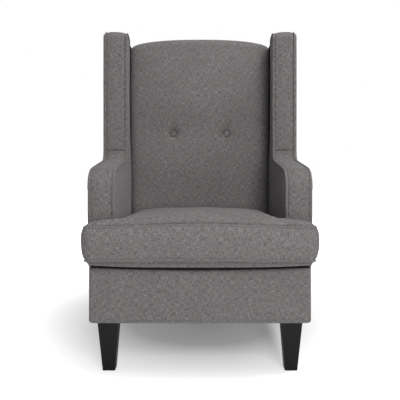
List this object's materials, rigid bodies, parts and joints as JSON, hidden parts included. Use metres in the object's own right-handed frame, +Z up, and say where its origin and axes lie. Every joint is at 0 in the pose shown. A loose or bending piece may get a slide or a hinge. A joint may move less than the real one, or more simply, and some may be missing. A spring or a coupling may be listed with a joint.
{
  "type": "wingback armchair",
  "caption": "Upholstered wingback armchair with welted wings and arms, a buttoned back, a loose T-cushion and tapered wooden legs.",
  "frame": {"origin": "on the floor, under the middle of the chair's overall footprint", "axes": "+Z up; +X across the chair, to the right of someone who faces its front; +Y from its front to its back"},
  "size_m": [0.716, 0.7396, 1.158],
  "materials": {
    "upholstery": "matte",
    "lining": "matte",
    "frame_wood": "matte",
    "black_wood": "satin",
    "steel": "satin",
    "foam": "matte",
    "webbing": "matte",
    "glide": "matte"
  },
  "bodies": {
    "chair": {"front_rail": "frame_wood", "rear_rail": "frame_wood", "left_side_rail": "frame_wood", "right_side_rail": "frame_wood", "front_left_leg": "black_wood", "front_left_glide": "glide", "front_left_corner_block": "frame_wood", "front_left_leg_bolt": "steel", "front_right_leg": "black_wood", "front_right_glide": "glide", "front_right_corner_block": "frame_wood", "front_right_leg_bolt": "steel", "rear_left_leg": "black_wood", "rear_left_glide": "glide", "rear_left_corner_block": "frame_wood", "rear_left_leg_bolt": "steel", "rear_right_leg": "black_wood", "rear_right_glide": "glide", "rear_right_corner_block": "frame_wood", "rear_right_leg_bolt": "steel", "dust_cover": "lining", "base_front": "upholstery", "seat_deck": "lining", "seat_spring_1": "steel", "seat_spring_2": "steel", "seat_spring_3": "steel", "seat_spring_4": "steel", "left_front_post": "frame_wood", "left_arm_rail": "frame_wood", "left_wing_frame": "frame_wood", "left_back_post": "frame_wood", "right_front_post": "frame_wood", "right_arm_rail": "frame_wood", "right_wing_frame": "frame_wood", "right_back_post": "frame_wood", "left_outside_panel": "upholstery", "left_inside_wing_and_arm": "upholstery", "left_arm_border_strip": "upholstery", "left_wing_border_strip": "upholstery", "left_inner_welt": "upholstery", "left_outer_welt": "upholstery", "right_outside_panel": "upholstery", "right_inside_wing_and_arm": "upholstery", "right_arm_border_strip": "upholstery", "right_wing_border_strip": "upholstery", "right_inner_welt": "upholstery", "right_outer_welt": "upholstery", "crest_rail": "frame_wood", "lower_back_rail": "frame_wood", "back_webbing_1": "webbing", "back_webbing_2": "webbing", "back_webbing_3": "webbing", "inside_back": "upholstery", "left_back_button": "upholstery", "right_back_button": "upholstery", "outside_back": "upholstery"},
    "seat_cushion": {"cushion_cover": "upholstery", "cushion_core": "foam", "cushion_bottom_welt": "upholstery", "cushion_top_welt": "upholstery"}
  },
  "joints": [
    {"name": "cushion_lift", "type": "slide", "parent": "chair", "child": "seat_cushion", "axis": [0, 0, 1], "range_m": [0, 0.36]}
  ]
}
